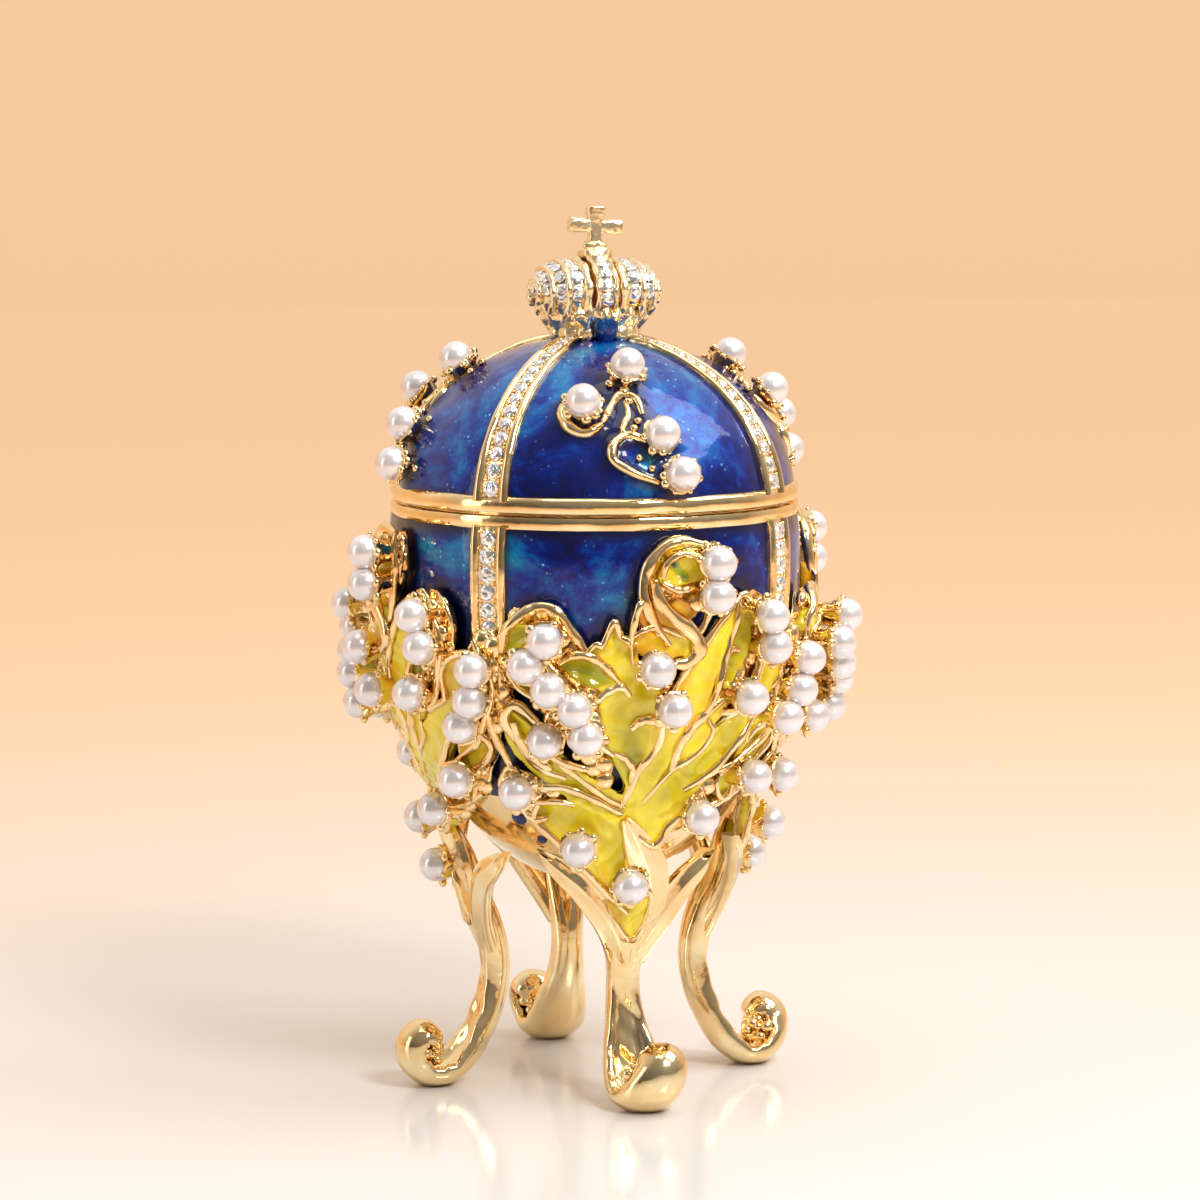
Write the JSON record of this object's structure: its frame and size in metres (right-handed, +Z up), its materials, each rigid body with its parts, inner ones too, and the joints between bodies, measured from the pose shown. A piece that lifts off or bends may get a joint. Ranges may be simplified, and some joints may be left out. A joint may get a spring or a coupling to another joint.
{
  "type": "egg-shaped trinket box",
  "caption": "Egg-shaped enamel trinket box with a lift-off domed lid, crown finial, scrolled gilt legs, lily leaves and pearls.",
  "frame": {"origin": "on the ground under the egg's vertical axis, level with the soles of the four feet", "axes": "+Z up through the crown; -Y towards the front leg; the arms of the cross run along X"},
  "size_m": [0.0568, 0.0568, 0.0949],
  "materials": {
    "blue_enamel": "glossy translucent enamel over metal",
    "gold": "polished pale gold plate",
    "yellow_enamel": "glossy enamel, lemon to olive",
    "pearl": "soft lustre with a faint pink tint",
    "crystal": "faceted clear stones"
  },
  "bodies": {
    "root": {"bowl": "blue_enamel", "lid": "blue_enamel", "crown_finial": "gold", "lily_leg_front": "gold", "pearls_hood_front": "pearl", "pearls_upper_front": "pearl", "pearls_blade_front": "pearl", "pearls_rib_front": "pearl", "pearls_right_leaf_front": "pearl", "pearls_shoulder_front": "pearl", "pearls_middle_front": "pearl", "pearls_tall_blade_front": "pearl", "pearls_low_right_front": "pearl", "lid_pearl_1_front": "pearl", "lid_pearl_2_front": "pearl", "lid_pearl_3_front": "pearl", "lid_pearl_4_front": "pearl", "lily_leg_right": "gold", "pearls_hood_right": "pearl", "pearls_upper_right": "pearl", "pearls_blade_right": "pearl", "pearls_rib_right": "pearl", "pearls_right_leaf_right": "pearl", "pearls_shoulder_right": "pearl", "pearls_middle_right": "pearl", "pearls_tall_blade_right": "pearl", "pearls_low_right_right": "pearl", "lid_pearl_1_right": "pearl", "lid_pearl_2_right": "pearl", "lid_pearl_3_right": "pearl", "lid_pearl_4_right": "pearl", "lily_leg_back": "gold", "pearls_hood_back": "pearl", "pearls_upper_back": "pearl", "pearls_blade_back": "pearl", "pearls_rib_back": "pearl", "pearls_right_leaf_back": "pearl", "pearls_shoulder_back": "pearl", "pearls_middle_back": "pearl", "pearls_tall_blade_back": "pearl", "pearls_low_right_back": "pearl", "lid_pearl_1_back": "pearl", "lid_pearl_2_back": "pearl", "lid_pearl_3_back": "pearl", "lid_pearl_4_back": "pearl", "lily_leg_left": "gold", "pearls_hood_left": "pearl", "pearls_upper_left": "pearl", "pearls_blade_left": "pearl", "pearls_rib_left": "pearl", "pearls_right_leaf_left": "pearl", "pearls_shoulder_left": "pearl", "pearls_middle_left": "pearl", "pearls_tall_blade_left": "pearl", "pearls_low_right_left": "pearl", "lid_pearl_1_left": "pearl", "lid_pearl_2_left": "pearl", "lid_pearl_3_left": "pearl", "lid_pearl_4_left": "pearl"}
  },
  "joints": []
}
